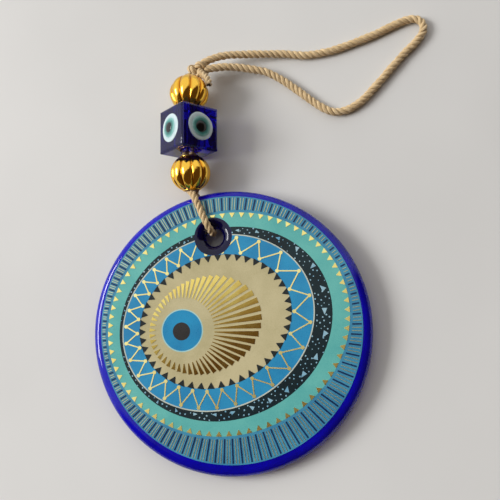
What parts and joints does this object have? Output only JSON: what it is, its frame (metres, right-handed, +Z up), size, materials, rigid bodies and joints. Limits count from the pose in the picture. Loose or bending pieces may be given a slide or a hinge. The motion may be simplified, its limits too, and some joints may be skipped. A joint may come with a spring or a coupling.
{
  "type": "evil eye ornament",
  "caption": "Cobalt glass disc with a printed eye, hung on a jute cord with two gilt melon beads and a glass cube bead, lying face up.",
  "frame": {"origin": "on the surface it lies on, under the middle of the disc and beads together, cord left out", "axes": "+Z up from the surface, +Y from the disc along its beads to the hanging loop, +X to the right as seen from above"},
  "size_m": [0.1448, 0.2004, 0.0259],
  "materials": {
    "cobalt_glass": "gloss",
    "stripe_ink": "gloss",
    "turquoise_ink": "gloss",
    "black_ink": "gloss",
    "cream_ink": "gloss",
    "blue_ink": "gloss",
    "beige_ink": "gloss",
    "iris_ink": "gloss",
    "pupil_ink": "gloss",
    "navy_ink": "gloss",
    "gold_foil": "polished",
    "gilt": "polished",
    "bead_glass": "gloss",
    "eye_white": "gloss",
    "eye_aqua": "gloss",
    "eye_black": "gloss",
    "jute": "rough"
  },
  "bodies": {
    "disc": {"glass_disc": "cobalt_glass", "stripe_band": "stripe_ink", "turquoise_band": "turquoise_ink", "black_band": "black_ink", "cream_line": "cream_ink", "blue_band": "blue_ink", "beige_field": "beige_ink", "eye_outline": "cream_ink", "eye_iris": "iris_ink", "eye_pupil": "pupil_ink", "dark_bars": "navy_ink", "gold_bars": "gold_foil", "gold_triangles": "gold_foil", "pale_dots": "cream_ink", "gold_zigzag": "gold_foil", "black_teeth": "black_ink", "gold_rays": "gold_foil", "cord_over_web": "jute", "cord_under_web": "jute", "cord_rise": "jute"},
    "neck": {"cord_neck": "jute"},
    "stem": {"cord_stem_left": "jute", "cord_stem_right": "jute", "cord_knot": "jute", "cord_tail": "jute"},
    "lower_bead": {"lower_bead": "gilt"},
    "cube": {"cube_bead": "bead_glass", "cube_eye_1_white": "eye_white", "cube_eye_1_iris": "eye_aqua", "cube_eye_1_pupil": "eye_black", "cube_eye_2_white": "eye_white", "cube_eye_2_iris": "eye_aqua", "cube_eye_2_pupil": "eye_black", "cube_eye_3_white": "eye_white", "cube_eye_3_iris": "eye_aqua", "cube_eye_3_pupil": "eye_black", "cube_eye_4_white": "eye_white", "cube_eye_4_iris": "eye_aqua", "cube_eye_4_pupil": "eye_black"},
    "upper_bead": {"upper_bead": "gilt"},
    "loop": {"cord_loop": "jute"}
  },
  "joints": [
    {"name": "cord_swing", "type": "hinge", "parent": "disc", "child": "neck", "pos_m": [-0.01731, 0.03401, 0.00997], "axis": [0, 0, 1], "range_deg": [-25, 50], "deforming": ["cord_over_web", "cord_rise", "cord_neck"]},
    {"name": "pendant_fold", "type": "hinge", "parent": "neck", "child": "stem", "pos_m": [-0.01731, 0.03401, 0.00997], "axis": [1, 0, 0], "range_deg": [-25, 70], "deforming": ["cord_over_web", "cord_rise", "cord_neck"]},
    {"name": "lower_bead_spin", "type": "hinge", "parent": "stem", "child": "lower_bead", "pos_m": [-0.01731, 0.03401, 0.00997], "axis": [-0.0858, 0.9811, 0.1736], "continuous": true},
    {"name": "cube_spin", "type": "hinge", "parent": "stem", "child": "cube", "pos_m": [-0.01868, 0.05001, 0.01272], "axis": [-0.0349, 0.999, 0.0262], "continuous": true},
    {"name": "upper_bead_spin", "type": "hinge", "parent": "stem", "child": "upper_bead", "pos_m": [-0.01941, 0.07069, 0.01315], "axis": [-0.0514, 0.9803, -0.1908], "continuous": true},
    {"name": "loop_swing", "type": "hinge", "parent": "stem", "child": "loop", "pos_m": [-0.017, 0.09035, 0.008], "axis": [0, 0, 1], "range_deg": [-10, 140]}
  ]
}
